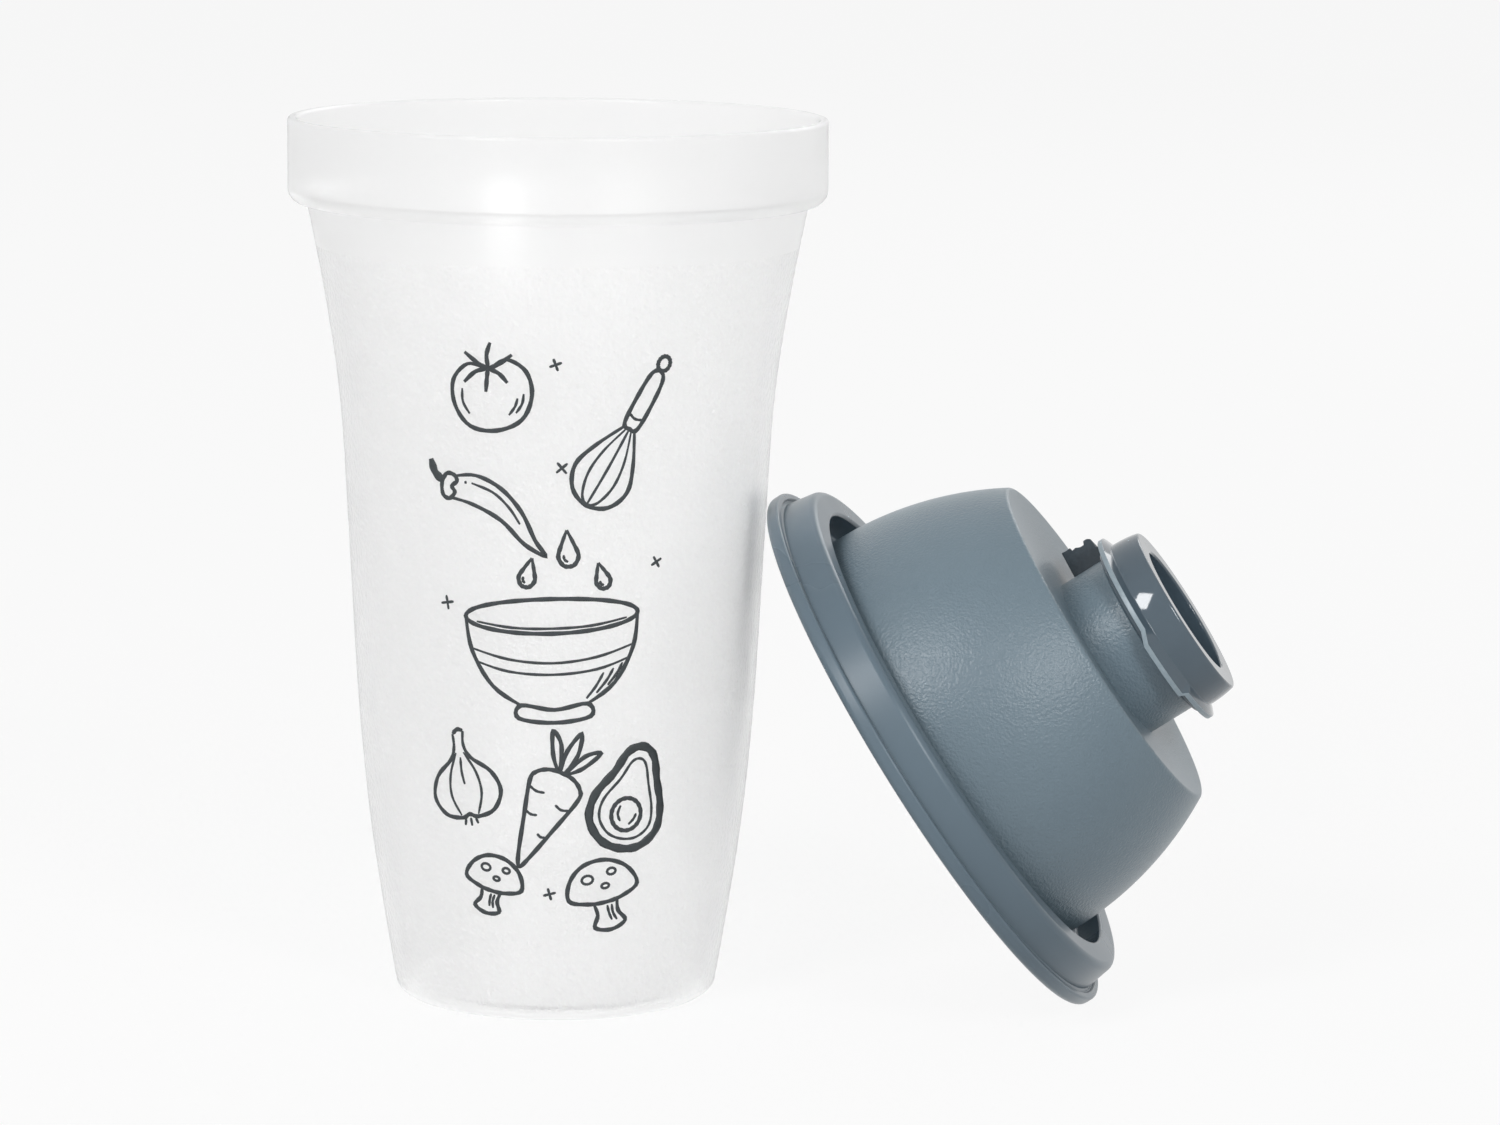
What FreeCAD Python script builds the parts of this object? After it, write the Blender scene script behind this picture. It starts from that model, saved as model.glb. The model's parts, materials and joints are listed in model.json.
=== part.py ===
import FreeCAD, Part
import math
import os

# Dressing shaker: a frosted cup, a domed pouring lid and the lid's turning pour collar.
# Millimetres, Z up, origin at the centre of the cup's foot. The lid is off the cup and leans on it.

V = FreeCAD.Vector
UP = V(0, 0, 1)
FULL_TURN = 360.0
RIGHT_ANGLE = 90.0
ARC_MIDDLE_SHARE = 1 - math.sqrt(0.5)

# Cup
CUP_HEIGHT = 148.0
CUP_WALL = 1.6
CUP_FLOOR = 2.2
FOOT_RADIUS = 26.8
FOOT_ROUND = 2.2
FOOT_RING_WIDTH = 5.0
FOOT_RECESS_DEPTH = 0.8
THROAT_RADIUS = 41.8
RIM_RADIUS = 45.0
RIM_BAND_HEIGHT = 14.2
RIM_BAND_ROUND = 2.5
LIP_ROUND = 0.6
INNER_ROUND = 1.2
# Height from the foot to the throat, and radius from the foot's to the throat's
CUP_SIDE_SHARES = (
    (0.0, 0.0),
    (0.11, 0.165),
    (0.23, 0.32),
    (0.375, 0.44),
    (0.575, 0.54),
    (0.75, 0.635),
    (0.88, 0.795),
    (1.0, 1.0),
)

# Lid, with heights above the underside of its bead
RIM_CLEARANCE = 0.25
PLUG_CLEARANCE = 0.2
LID_WALL = 1.6
PLUG_WALL = 1.1
SKIRT_WALL = 1.8
SKIRT_TAPER = 0.9
BEAD_RADIUS = 50.0
BEAD_HEIGHT = 2.6
BEAD_ROUND = 1.1
BEAD_EDGE_ROUND = 0.45
LAND_HEIGHT = 8.1
LAND_ROUND = 1.4
PLUG_ROUND = 0.5
GUTTER_HEIGHT = 3.2
DOME_HEIGHT = 35.8
DOME_FOOT_RADIUS = 38.4
DOME_SHOULDER_RADIUS = 30.4
DOME_BULGE = 2.4
SHOULDER_ROUND = 0.9
DISH_DEPTH = 1.3
DISH_MARGIN = 0.3

# Neck of the lid, off the lid's axis towards its local X
NECK_OFFSET = 2.6
NECK_RADIUS = 14.45
NECK_HEIGHT = 8.2
SPIGOT_RADIUS = 14.0
SPIGOT_WALL = 1.6
SNAP_BEAD_RADIUS = 0.5
SNAP_BEAD_RISE = 2.4

# Pour collar
RUN_CLEARANCE = 0.05
END_GAP = 0.1
COLLAR_RADIUS = 15.65
COLLAR_HEIGHT = 7.3
COLLAR_WEB = 1.8
COLLAR_ROUND = 0.9
COLLAR_LIP = 0.4
MOUTH_RADIUS = 11.2
MOUTH_COUNTERSINK = 0.6
SLEEVE_LENGTH = 5.0
FLANGE_RADIUS = 17.5
FLANGE_RISE = 0.8
FLANGE_ROOT = 1.75
FLANGE_EDGE = 0.9
FLANGE_BITE = 0.5
TAB_START = 260.0
TAB_RAMP = 8.0
TAB_END = 305.5

# Stop lug beside the neck, in the path of the collar's dropped tab
LUG_ANGLE = 146.0
LUG_WIDTH = 5.0
LUG_REACH = 20.2
LUG_NOSE_REACH = 20.9
LUG_NOSE_HEIGHT = 1.8
LUG_BITE = 0.8
LUG_RAISE = 2.1
LUG_GAP = 0.3

# How the lid leans on the cup: where it stands round the cup, its axis's rise over the floor and its turn
LEAN_BEARING = 1.2
LEAN_RISE = 33.5
LEAN_TURN = 5.65
LEAN_GAP = 0.3
LEAN_STEPS = 12

# Levels and radii that several pieces share
THROAT_HEIGHT = CUP_HEIGHT - RIM_BAND_HEIGHT
SKIRT_BORE_RADIUS = RIM_RADIUS + RIM_CLEARANCE
PLUG_RADIUS = RIM_RADIUS - CUP_WALL - PLUG_CLEARANCE
DISH_HEIGHT = DOME_HEIGHT - DISH_DEPTH
DISH_RADIUS = NECK_RADIUS + NECK_OFFSET + DISH_MARGIN
NECK_TOP = DISH_HEIGHT + NECK_HEIGHT
SPIGOT_BORE_RADIUS = SPIGOT_RADIUS - SPIGOT_WALL
SNAP_BEAD_HEIGHT = NECK_TOP + SNAP_BEAD_RISE
COLLAR_FOOT = NECK_TOP + END_GAP
COLLAR_TOP = COLLAR_FOOT + COLLAR_HEIGHT
WEB_UNDERSIDE = COLLAR_TOP - COLLAR_WEB
SPIGOT_TOP = WEB_UNDERSIDE - END_GAP
FLANGE_FOOT = COLLAR_FOOT + FLANGE_RISE
NECK_AXIS = V(NECK_OFFSET, 0, 0)
TOUCH = 1e-4


def lines(points):
    """Straight edges from point to point, given as radius and height."""
    corners = [V(radius, 0, height) for radius, height in points]
    return [Part.makeLine(start, end) for start, end in zip(corners, corners[1:])]


def bulged(start, end, bulge):
    """An arc from start to end that stands out from its chord by bulge, to the right of the way up."""
    chord_radius = end[0] - start[0]
    chord_height = end[1] - start[1]
    chord = math.hypot(chord_radius, chord_height)
    middle_radius = (start[0] + end[0]) / 2 + bulge * chord_height / chord
    middle_height = (start[1] + end[1]) / 2 - bulge * chord_radius / chord
    middle = V(middle_radius, 0, middle_height)
    return Part.Arc(V(start[0], 0, start[1]), middle, V(end[0], 0, end[1])).toShape()


def quarter_arc(start, corner, end):
    """The arc that rounds a square corner between two points as far from it as each other."""
    radius = corner[0] + ARC_MIDDLE_SHARE * (start[0] + end[0] - 2 * corner[0])
    height = corner[1] + ARC_MIDDLE_SHARE * (start[1] + end[1] - 2 * corner[1])
    return Part.Arc(V(start[0], 0, start[1]), V(radius, 0, height), V(end[0], 0, end[1])).toShape()


def turned(edges):
    """A solid of revolution about Z, from one closed outline."""
    return Part.Face(Part.Wire(edges)).revolve(V(0, 0, 0), UP, FULL_TURN)


def rounded(solid, radius, circles):
    """The solid with the edges rounded that run round Z at these radii and heights."""
    picked = []
    for edge in solid.Edges:
        if not isinstance(edge.Curve, Part.Circle):
            continue
        for circle_radius, height in circles:
            same_radius = abs(edge.Curve.Radius - circle_radius) < TOUCH
            if same_radius and abs(edge.Curve.Center.z - height) < TOUCH:
                picked.append(edge)
    return solid.makeFillet(radius, picked)


def cup_side(inset, foot, top):
    """The cup's flared side, moved in by inset, between two heights."""
    points = []
    for height_share, radius_share in CUP_SIDE_SHARES:
        radius = FOOT_RADIUS - inset + radius_share * (THROAT_RADIUS - FOOT_RADIUS)
        points.append(V(radius, 0, foot + height_share * (top - foot)))
    side = Part.BSplineCurve()
    side.interpolate(points)
    return side.toShape()


def make_cup():
    recess_radius = FOOT_RADIUS - FOOT_RING_WIDTH
    band_foot = THROAT_HEIGHT + RIM_BAND_ROUND
    ledge = THROAT_HEIGHT + CUP_WALL
    band_bore = RIM_RADIUS - CUP_WALL
    throat_bore = THROAT_RADIUS - CUP_WALL
    floor_radius = FOOT_RADIUS - CUP_WALL
    foot = lines([
        (0, FOOT_RECESS_DEPTH),
        (recess_radius, FOOT_RECESS_DEPTH),
        (recess_radius, 0),
        (FOOT_RADIUS, 0),
    ])
    outer_side = cup_side(0, 0, THROAT_HEIGHT)
    step_end = (RIM_RADIUS - RIM_BAND_ROUND, THROAT_HEIGHT)
    step = lines([(THROAT_RADIUS, THROAT_HEIGHT), step_end])
    band_round = quarter_arc(step_end, (RIM_RADIUS, THROAT_HEIGHT), (RIM_RADIUS, band_foot))
    band = lines([
        (RIM_RADIUS, band_foot),
        (RIM_RADIUS, CUP_HEIGHT),
        (band_bore, CUP_HEIGHT),
        (band_bore, ledge),
        (throat_bore, ledge),
    ])
    inner_side = cup_side(CUP_WALL, CUP_FLOOR, ledge)
    floor = lines([(floor_radius, CUP_FLOOR), (0, CUP_FLOOR), (0, FOOT_RECESS_DEPTH)])
    cup = turned(foot + [outer_side] + step + [band_round] + band + [inner_side] + floor)
    cup = rounded(cup, FOOT_ROUND, [(FOOT_RADIUS, 0)])
    cup = rounded(cup, LIP_ROUND, [(RIM_RADIUS, CUP_HEIGHT), (band_bore, CUP_HEIGHT)])
    return rounded(cup, INNER_ROUND, [(band_bore, ledge), (throat_bore, ledge), (floor_radius, CUP_FLOOR)])


def make_lid_shell():
    """The lid without its neck: bead, skirt, rim channel, gutter and dished dome."""
    skirt_top = SKIRT_BORE_RADIUS + SKIRT_WALL
    plug_bore = PLUG_RADIUS - PLUG_WALL
    dome_foot = (DOME_FOOT_RADIUS, GUTTER_HEIGHT)
    shoulder = (DOME_SHOULDER_RADIUS, DOME_HEIGHT)
    inner_foot = (DOME_FOOT_RADIUS - LID_WALL, GUTTER_HEIGHT - LID_WALL)
    inner_shoulder = (DOME_SHOULDER_RADIUS - LID_WALL, DOME_HEIGHT - LID_WALL)
    rim = lines([
        (SKIRT_BORE_RADIUS, 0),
        (BEAD_RADIUS, 0),
        (BEAD_RADIUS, BEAD_HEIGHT),
        (skirt_top + SKIRT_TAPER, BEAD_HEIGHT),
        (skirt_top, LAND_HEIGHT),
        (plug_bore, LAND_HEIGHT),
        (plug_bore, GUTTER_HEIGHT),
        dome_foot,
    ])
    top = lines([
        shoulder,
        (DISH_RADIUS, DISH_HEIGHT),
        (0, DISH_HEIGHT),
        (0, DISH_HEIGHT - LID_WALL),
        (DISH_RADIUS, DISH_HEIGHT - LID_WALL),
        inner_shoulder,
    ])
    channel = lines([
        inner_foot,
        (PLUG_RADIUS, GUTTER_HEIGHT - LID_WALL),
        (PLUG_RADIUS, LAND_HEIGHT - LID_WALL),
        (SKIRT_BORE_RADIUS, LAND_HEIGHT - LID_WALL),
        (SKIRT_BORE_RADIUS, 0),
    ])
    dome = [bulged(dome_foot, shoulder, DOME_BULGE)]
    inner_dome = [bulged(inner_foot, inner_shoulder, DOME_BULGE)]
    shell = turned(rim + dome + top + inner_dome + channel)
    shell = rounded(shell, BEAD_ROUND, [(BEAD_RADIUS, 0)])
    shell = rounded(shell, BEAD_EDGE_ROUND, [(BEAD_RADIUS, BEAD_HEIGHT)])
    shell = rounded(shell, LAND_ROUND, [(skirt_top, LAND_HEIGHT)])
    shell = rounded(shell, PLUG_ROUND, [(plug_bore, LAND_HEIGHT)])
    return rounded(shell, SHOULDER_ROUND, [shoulder])


def make_lug():
    """A stub on the neck, clear of the dish, with a nose that stands up outside the collar."""
    lug_foot = DISH_HEIGHT + LUG_RAISE
    body_top = COLLAR_FOOT - LUG_GAP
    nose_top = FLANGE_FOOT - LUG_GAP
    nose_foot = nose_top - LUG_NOSE_HEIGHT
    outline = lines([
        (NECK_RADIUS - LUG_BITE, lug_foot),
        (LUG_REACH, lug_foot),
        (LUG_REACH, nose_foot),
        (LUG_NOSE_REACH, nose_foot),
        (LUG_NOSE_REACH, nose_top),
        (COLLAR_RADIUS + LUG_GAP, nose_top),
        (COLLAR_RADIUS + LUG_GAP, body_top),
        (NECK_RADIUS - LUG_BITE, body_top),
        (NECK_RADIUS - LUG_BITE, lug_foot),
    ])
    stub = Part.Face(Part.Wire(outline)).extrude(V(0, LUG_WIDTH, 0))
    stub.translate(V(0, -LUG_WIDTH / 2, 0))
    stub.rotate(V(0, 0, 0), UP, LUG_ANGLE)
    return stub


def make_neck():
    """The neck, its spigot with the snap bead, and the stop lug, on the neck's own axis."""
    root = DISH_HEIGHT - LID_WALL
    neck = Part.makeCylinder(NECK_RADIUS, NECK_TOP - root, V(0, 0, root))
    spigot = Part.makeCylinder(SPIGOT_RADIUS, SPIGOT_TOP - root, V(0, 0, root))
    snap_bead = Part.makeTorus(SPIGOT_RADIUS, SNAP_BEAD_RADIUS, V(0, 0, SNAP_BEAD_HEIGHT))
    bore = Part.makeCylinder(SPIGOT_BORE_RADIUS, SPIGOT_TOP - root, V(0, 0, root))
    return neck.fuse([spigot, snap_bead, make_lug()]).cut(bore)


def make_lid():
    root = DISH_HEIGHT - LID_WALL
    opening = Part.makeCylinder(SPIGOT_BORE_RADIUS, LID_WALL, V(0, 0, root))
    opening.translate(NECK_AXIS)
    neck = make_neck()
    neck.translate(NECK_AXIS)
    return make_lid_shell().cut(opening).fuse(neck).removeSplitter()


def flange_outline(foot):
    """The flange's section with its foot at this height; its upper side slopes down from one level root."""
    root_radius = COLLAR_RADIUS - FLANGE_BITE
    root_height = FLANGE_FOOT + FLANGE_ROOT
    return Part.Wire(lines([
        (root_radius, foot),
        (FLANGE_RADIUS, foot),
        (FLANGE_RADIUS, foot + FLANGE_EDGE),
        (COLLAR_RADIUS, root_height),
        (root_radius, root_height),
        (root_radius, foot),
    ]))


def flange_arc(foot, start, end):
    """The flange from one angle to another."""
    arc = Part.Face(flange_outline(foot)).revolve(V(0, 0, 0), UP, end - start)
    arc.rotate(V(0, 0, 0), UP, start)
    return arc


def flange_ramp():
    """The dropped tab's lead-in, from the flange's level down to the collar's foot."""
    high = flange_outline(FLANGE_FOOT)
    high.rotate(V(0, 0, 0), UP, TAB_START)
    low = flange_outline(COLLAR_FOOT)
    low.rotate(V(0, 0, 0), UP, TAB_START + TAB_RAMP)
    return Part.makeLoft([high, low], True, True)


def make_collar():
    bore = SPIGOT_RADIUS + RUN_CLEARANCE
    sleeve = SPIGOT_BORE_RADIUS - RUN_CLEARANCE
    sleeve_foot = WEB_UNDERSIDE - SLEEVE_LENGTH
    wall_top = (COLLAR_RADIUS, COLLAR_TOP - COLLAR_ROUND)
    lip = (COLLAR_RADIUS - COLLAR_ROUND, COLLAR_TOP)
    wall = lines([(bore, COLLAR_FOOT), (COLLAR_RADIUS, COLLAR_FOOT), wall_top])
    edge_round = quarter_arc(wall_top, (COLLAR_RADIUS, COLLAR_TOP), lip)
    mouth = lines([
        lip,
        (COLLAR_RADIUS - COLLAR_ROUND - COLLAR_LIP, COLLAR_TOP),
        (MOUTH_RADIUS, COLLAR_TOP - MOUTH_COUNTERSINK),
        (MOUTH_RADIUS, sleeve_foot),
        (sleeve, sleeve_foot),
        (sleeve, WEB_UNDERSIDE),
        (bore, WEB_UNDERSIDE),
        (bore, COLLAR_FOOT),
    ])
    ring = turned(wall + [edge_round] + mouth)
    flange = flange_arc(FLANGE_FOOT, TAB_END, TAB_START + FULL_TURN)
    tab = flange_arc(COLLAR_FOOT, TAB_START + TAB_RAMP, TAB_END)
    groove = Part.makeTorus(SPIGOT_RADIUS, SNAP_BEAD_RADIUS + RUN_CLEARANCE, V(0, 0, SNAP_BEAD_HEIGHT))
    collar = ring.fuse([flange, tab, flange_ramp()]).cut(groove).removeSplitter()
    collar.translate(NECK_AXIS)
    return collar


def leaning_place(cup, lid):
    """Where the lid leans: its bead on the floor, and its edge slid up to the cup's side."""
    rise = math.radians(LEAN_RISE)
    turn = FreeCAD.Rotation(UP, -LEAN_TURN)
    tilt = FreeCAD.Rotation(V(0, 1, 0), RIGHT_ANGLE - LEAN_RISE)
    outward = FreeCAD.Rotation(UP, -LEAN_BEARING).multVec(V(1, 0, 0))
    bead_centre = (BEAD_RADIUS - BEAD_ROUND) * math.cos(rise) - BEAD_ROUND * math.sin(rise)
    start = outward * (RIM_RADIUS + BEAD_RADIUS) + UP * (bead_centre + BEAD_ROUND)
    place = FreeCAD.Placement(start, turn.multiply(tilt))
    for _ in range(LEAN_STEPS):
        reach = placed(lid, place).distToShape(cup)[0] - LEAN_GAP
        place.Base = place.Base - outward * reach
    return place


def placed(solid, place):
    """A copy of the solid, moved from the lid's own frame to where the lid leans."""
    copy = solid.copy()
    copy.Placement = place.multiply(solid.Placement)
    return copy


cup = make_cup()
lid = make_lid()
collar = make_collar()
lean = leaning_place(cup, lid)
pieces = {
    "cup": cup,
    "lid": placed(lid, lean),
    "pour_collar": placed(collar, lean),
}
os.makedirs("parts", exist_ok=True)
for name, solid in pieces.items():
    solid.exportStep(os.path.join("parts", name + ".step"))
    print(name, len(solid.Solids), "solid,", round(solid.Volume, 1), "cubic mm, valid:", solid.isValid())
print("lid at", lean.Base, "with its axis along", lean.Rotation.multVec(UP))
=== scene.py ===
# %% [markdown]
# # A dressing shaker: frosted cup, grey pouring lid and glossy pour collar
# The real object is three plastic mouldings. The lid is off and leans against the cup.
# The CAD model is loaded first, as a fixed frame in metres. Every piece below is modelled where the CAD
# has it, stands in for one CAD node and rides on that node's body, so the joints still move it.

# %% Load the frame
import bpy
import json
import math
from mathutils import Matrix, Vector
from mathutils.geometry import interpolate_bezier


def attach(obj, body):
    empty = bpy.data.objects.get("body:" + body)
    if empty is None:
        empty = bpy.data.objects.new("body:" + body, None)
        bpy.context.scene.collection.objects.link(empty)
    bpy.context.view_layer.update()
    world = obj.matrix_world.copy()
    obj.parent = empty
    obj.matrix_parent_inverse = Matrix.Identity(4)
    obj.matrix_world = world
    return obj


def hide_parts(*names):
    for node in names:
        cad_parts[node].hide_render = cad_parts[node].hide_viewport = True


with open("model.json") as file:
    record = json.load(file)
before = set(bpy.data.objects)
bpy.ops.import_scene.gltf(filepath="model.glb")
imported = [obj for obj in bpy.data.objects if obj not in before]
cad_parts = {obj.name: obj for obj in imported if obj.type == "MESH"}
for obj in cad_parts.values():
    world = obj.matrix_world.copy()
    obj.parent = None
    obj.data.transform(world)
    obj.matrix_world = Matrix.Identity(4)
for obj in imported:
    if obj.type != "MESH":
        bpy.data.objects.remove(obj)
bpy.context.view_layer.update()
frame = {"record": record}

# %% [markdown]
# ## Drawing round pieces
# Cup, lid and collar were all moulded round an axis. They could be stacked from cylinders, but their
# walls curve and every edge is rounded. So each one is drawn as a half section: one vertex is extruded
# from point to point, and the line is spun round Z like clay on a wheel.

# %% Rounded outlines
MM = 0.001
ROUND_STEPS = 6


def rounded(corners):
    """Points along an outline, in mm, from corners given as radius, height and rounding."""
    points = []
    for number, (radius, height, rounding) in enumerate(corners):
        corner = Vector((radius, height))
        if rounding == 0:
            points.append(corner)
            continue
        back = (Vector(corners[number - 1][:2]) - corner).normalized()
        ahead = (Vector(corners[(number + 1) % len(corners)][:2]) - corner).normalized()
        half = back.angle(ahead) / 2
        centre = corner + (back + ahead).normalized() * rounding / math.sin(half)
        start = corner + back * rounding / math.tan(half) - centre
        end = corner + ahead * rounding / math.tan(half) - centre
        for step in range(ROUND_STEPS + 1):
            points.append(centre + start.lerp(end, step / ROUND_STEPS).normalized() * rounding)
    return points


def plain(points):
    """The points as outline corners that aren't rounded."""
    return [(point.x, point.y, 0) for point in points]


# %% Smooth lines through a few points
def smooth_line(points, steps, closed=False):
    """A smooth line through the points, with this many steps between each two."""
    knots = [Vector(point) for point in points]
    last = len(knots) - 1
    line = []
    for number in range(len(knots) if closed else last):
        near = [number - 1, number, number + 1, number + 2]
        near = [i % len(knots) if closed else min(max(i, 0), last) for i in near]
        a, b, c, d = [knots[i] for i in near]
        line += interpolate_bezier(b, b + (c - a) / 6, c - (d - b) / 6, c, steps + 1)[:-1]
    return line if closed else line + [knots[last]]


# %% Spinning an outline
SPIN_STEPS = 180
SAME_PLACE = 0.002 * MM


def spin_outline(name, outline):
    """Draws the outline, radius and height in mm, by extruding one vertex, and spins it round Z."""
    bpy.ops.object.select_all(action="DESELECT")
    bpy.ops.mesh.primitive_plane_add(size=MM)
    piece = bpy.context.object
    piece.name = name
    bpy.ops.object.mode_set(mode="EDIT")
    bpy.ops.mesh.merge(type="CENTER")
    bpy.ops.transform.translate(value=(outline[0].x * MM, 0, outline[0].y * MM))
    for here, there in zip(outline, outline[1:]):
        move = (there - here) * MM
        bpy.ops.mesh.extrude_region_move(TRANSFORM_OT_translate={"value": (move.x, 0, move.y)})
    bpy.ops.mesh.select_all(action="SELECT")
    bpy.ops.mesh.spin(steps=SPIN_STEPS, angle=math.tau, center=(0, 0, 0), axis=(0, 0, 1))
    bpy.ops.mesh.select_all(action="SELECT")
    bpy.ops.mesh.remove_doubles(threshold=SAME_PLACE)
    bpy.ops.mesh.normals_make_consistent(inside=False)
    bpy.ops.object.mode_set(mode="OBJECT")
    print(name, "spun:", len(piece.data.polygons), "faces")
    return piece


# %% [markdown]
# ## Light on rounded edges
# A moulded edge is a small round between two plain faces, and it catches a thin line of light. Plain
# smooth shading would smear that line over the faces beside it. Weighted normals let the large faces
# keep their own direction, so only the small round bends the light.

# %% Smooth shading
def shade(piece, angle):
    """Shades a piece smooth up to an angle in degrees, with normals weighted by face size."""
    bpy.ops.object.select_all(action="DESELECT")
    piece.select_set(True)
    bpy.context.view_layer.objects.active = piece
    bpy.ops.object.shade_smooth_by_angle(angle=math.radians(angle))
    bpy.ops.object.modifier_add(type="WEIGHTED_NORMAL")
    modifier = piece.modifiers[-1]
    modifier.keep_sharp = True
    bpy.ops.object.modifier_apply(modifier=modifier.name)
    print(piece.name, "shaded")


# %% [markdown]
# ## The cup's shape
# The cup flares from a foot ring to a throat, where a wider band takes the lid. Its side is a gentle
# S, so it is a smooth line through a few measured points, outside and inside. The lip, the band's lower
# edge and the foot are rounded, because light on those edges is what shows a clear plastic cup at all.

# %% The cup's side
FOOT_RADIUS = 26.8
THROAT_RADIUS = 41.8
THROAT_HEIGHT = 133.8
CUP_WALL = 1.6
CUP_FLOOR = 2.2
SIDE_STEPS = 6
# Each point: share of the height from foot to throat, and share of the way from foot to throat radius
CUP_SIDE_SHARES = (
    (0.0, 0.0),
    (0.11, 0.165),
    (0.23, 0.32),
    (0.375, 0.44),
    (0.575, 0.54),
    (0.75, 0.635),
    (0.88, 0.795),
    (1.0, 1.0),
)


def cup_side(inset, foot, top):
    """The cup's side as radius and height in mm, moved in by inset, from foot to top."""
    knots = []
    for height_share, radius_share in CUP_SIDE_SHARES:
        radius = FOOT_RADIUS - inset + radius_share * (THROAT_RADIUS - FOOT_RADIUS)
        knots.append((radius, foot + height_share * (top - foot)))
    return smooth_line(knots, SIDE_STEPS)


outer_side = cup_side(0, 0, THROAT_HEIGHT)
inner_side = cup_side(CUP_WALL, CUP_FLOOR, THROAT_HEIGHT + CUP_WALL)
print("points on the cup's side:", len(outer_side))

# %% Spin the cup
CUP_HEIGHT = 148.0
RIM_RADIUS = 45.0
FOOT_RECESS_RADIUS = 21.8
FOOT_RECESS_DEPTH = 0.8
CUP_SMOOTH_ANGLE = 40
foot_corners = [
    (0, FOOT_RECESS_DEPTH, 0),
    (FOOT_RECESS_RADIUS, FOOT_RECESS_DEPTH, 0.3),
    (FOOT_RECESS_RADIUS, 0, 0.4),
    (FOOT_RADIUS, 0, 2.2),
]
rim_corners = [
    (THROAT_RADIUS, THROAT_HEIGHT, 0.4),
    (RIM_RADIUS, THROAT_HEIGHT, 2.4),
    (RIM_RADIUS, CUP_HEIGHT, 0.6),
    (RIM_RADIUS - CUP_WALL, CUP_HEIGHT, 0.6),
    (RIM_RADIUS - CUP_WALL, THROAT_HEIGHT + CUP_WALL, 1.0),
    (THROAT_RADIUS - CUP_WALL, THROAT_HEIGHT + CUP_WALL, 0.9),
]
floor_corners = [(FOOT_RADIUS - CUP_WALL, CUP_FLOOR, 1.2), (0, CUP_FLOOR, 0)]
outside = foot_corners + plain(outer_side[1:-1])
inside = plain(inner_side[-2:0:-1]) + floor_corners
cup = spin_outline("shaker_cup", rounded(outside + rim_corners + inside))
shade(cup, CUP_SMOOTH_ANGLE)
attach(cup, "cup")
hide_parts("cup")

# %% [markdown]
# ## Colours and nodes
# Colours are written as the hex values that a colour picker shows, and one function turns them to the
# linear values that Blender reckons in. One more function adds a node, sets it and links it. Patterns
# are sized in millimetres, so a third function turns a size into a texture scale.

# %% Helpers for materials
def linear(hex_colour):
    """A hex colour such as #73838E as linear red, green, blue and alpha."""
    parts = [int(hex_colour[i:i + 2], 16) / 255 for i in (1, 3, 5)]
    return [c / 12.92 if c <= 0.04045 else ((c + 0.055) / 1.055) ** 2.4 for c in parts] + [1.0]


def node(tree, kind, inputs=(), **settings):
    """Adds a node. Each input is a socket with its value or with the output that feeds it."""
    made = tree.nodes.new(kind)
    for name, value in settings.items():
        setattr(made, name, value)
    for socket, value in inputs:
        if isinstance(value, bpy.types.NodeSocket):
            tree.links.new(value, made.inputs[socket])
        else:
            made.inputs[socket].default_value = value
    return made


def new_material(name):
    """An empty material with its Principled shader and the piece's own coordinates."""
    material = bpy.data.materials.new(name)
    material.use_nodes = True
    tree = material.node_tree
    shader = tree.nodes["Principled BSDF"]
    place = node(tree, "ShaderNodeTexCoord").outputs["Object"]
    return material, tree, shader, place


def per_mm(size):
    """The texture scale that makes features of this size in mm."""
    return 1 / (size * MM)


# %% [markdown]
# ## Frosted polypropylene
# The cup is natural polypropylene: milky and translucent, neither clear nor painted. Its side was
# moulded against a grained tool, a pebble of under a millimetre, and the rim band and a strip below it
# were left smooth for the lid. A glass shader would be too clear and plain diffuse too chalky, so a
# Principled shader lets most of the light through, and the grained part adds the pebble as bump.

# %% Smooth frosted plastic
CUP_MILK = linear("#FCFCFC")
CUP_HAZE = linear("#F8F8F8")
CLOUD_SIZE = 28
# The IOR is under polypropylene's 1.49: light scattered in a thin milky wall comes out instead of
# running to its edges. A clear coat gives back the gloss that polypropylene has.
MILKY_IOR = 1.05
MILKY_TRANSMISSION = 0.92
smooth_pp, tree, shader, place = new_material("frosted_polypropylene_smooth")
# Natural PP scatters light: slow cloudy changes of tone, and a soft gloss where the tool was polished
cloud = node(tree, "ShaderNodeTexNoise", [("Vector", place), ("Scale", per_mm(CLOUD_SIZE)), ("Detail", 2.0)])
tone = node(
    tree,
    "ShaderNodeMix",
    [("Factor", cloud.outputs["Fac"]), ("A", CUP_MILK), ("B", CUP_HAZE)],
    data_type="RGBA",
)
tree.links.new(tone.outputs["Result"], shader.inputs["Base Color"])
ripple = node(tree, "ShaderNodeTexNoise", [("Vector", place), ("Scale", per_mm(9)), ("Detail", 1.0)])
bump = node(
    tree,
    "ShaderNodeBump",
    [("Strength", 0.25), ("Distance", 0.05 * MM), ("Height", ripple.outputs["Fac"])],
)
tree.links.new(bump.outputs["Normal"], shader.inputs["Normal"])
shader.inputs["Roughness"].default_value = 0.3
shader.inputs["IOR"].default_value = MILKY_IOR
shader.inputs["Transmission Weight"].default_value = MILKY_TRANSMISSION
shader.inputs["Coat Weight"].default_value = 0.6
shader.inputs["Coat Roughness"].default_value = 0.3
print("made", smooth_pp.name)

# %% Grained frosted plastic
PEBBLE = 0.9
FINE_GRAIN = 0.5
grained_pp, tree, shader, place = new_material("frosted_polypropylene_grained")
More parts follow.
